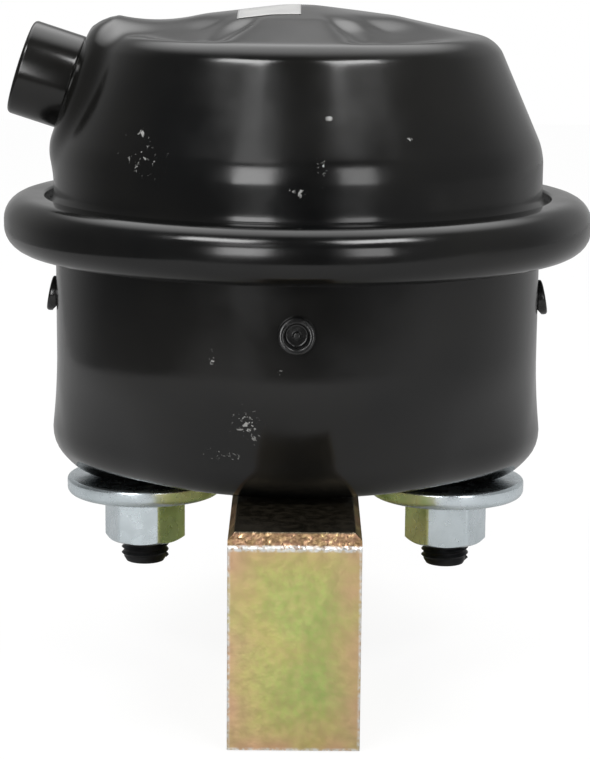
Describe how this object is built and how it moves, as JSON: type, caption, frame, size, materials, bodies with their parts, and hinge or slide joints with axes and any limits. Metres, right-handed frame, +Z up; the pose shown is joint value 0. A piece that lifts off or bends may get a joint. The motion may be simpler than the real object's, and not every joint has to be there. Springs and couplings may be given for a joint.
{
  "type": "air brake chamber",
  "caption": "Black pressed-steel air brake chamber with an air port, a rolled clamp ring, mounting studs with washers and nuts, and a sprung push rod that carries a yellow zinc yoke bar.",
  "frame": {"origin": "on the chamber's axis, at the underside of the yoke bar, which is the bottom centre of the bounding box", "axes": "+Z points up from the yoke bar to the pressure cover, along the push rod. -Y is the front, where the picture looks from. The yoke bar runs along Y. The studs stand at +X and -X, and the air port points to -X, 17.7 degrees above level."},
  "size_m": [0.1446, 0.16, 0.163],
  "materials": {
    "black_paint": "glossy black enamel over pressed steel, a little chipped",
    "clear_zinc": "bright bluish-white zinc plating",
    "yellow_zinc": "yellow chromate zinc plating with green and pink tints",
    "dark_steel": "plain dark oiled steel",
    "spring_steel": "dark coated spring wire",
    "black_rubber": "matte black rubber",
    "guide_plastic": "dark grey moulded plastic",
    "foil": "blank silvery white foil"
  },
  "bodies": {
    "chamber": {"pressure_cover": "black_paint", "port_boss": "black_paint", "clamp_ring": "black_paint", "lower_housing": "black_paint", "label_plate": "foil", "dust_seal": "black_rubber", "vent_plug_front": "black_rubber", "vent_plug_right": "black_rubber", "vent_plug_back": "black_rubber", "vent_plug_left": "black_rubber", "spring_seat": "clear_zinc", "rod_guide": "guide_plastic", "stud_left": "dark_steel", "stud_right": "dark_steel", "washer_left": "clear_zinc", "washer_right": "clear_zinc", "nut_left": "clear_zinc", "nut_right": "clear_zinc"},
    "spring_pack": {"return_spring": "spring_steel", "diaphragm": "black_rubber"},
    "push_rod_group": {"push_plate": "clear_zinc", "push_rod": "clear_zinc", "yoke_bar": "yellow_zinc", "rod_pin": "dark_steel", "lever_pin": "clear_zinc", "lever_pin_screw": "dark_steel"}
  },
  "joints": [
    {"name": "push_rod_stroke", "type": "slide", "parent": "chamber", "child": "spring_pack", "axis": [0, 0, -1], "range_m": [0, 0.044], "stiffness_N_per_m": 2500, "springref_m": -0.044, "deforming": ["return_spring", "diaphragm"]},
    {"name": "push_rod_turn", "type": "hinge", "parent": "spring_pack", "child": "push_rod_group", "pos_m": [0, 0, 0.05], "axis": [0, 0, 1], "range_deg": [-20, 20]}
  ]
}
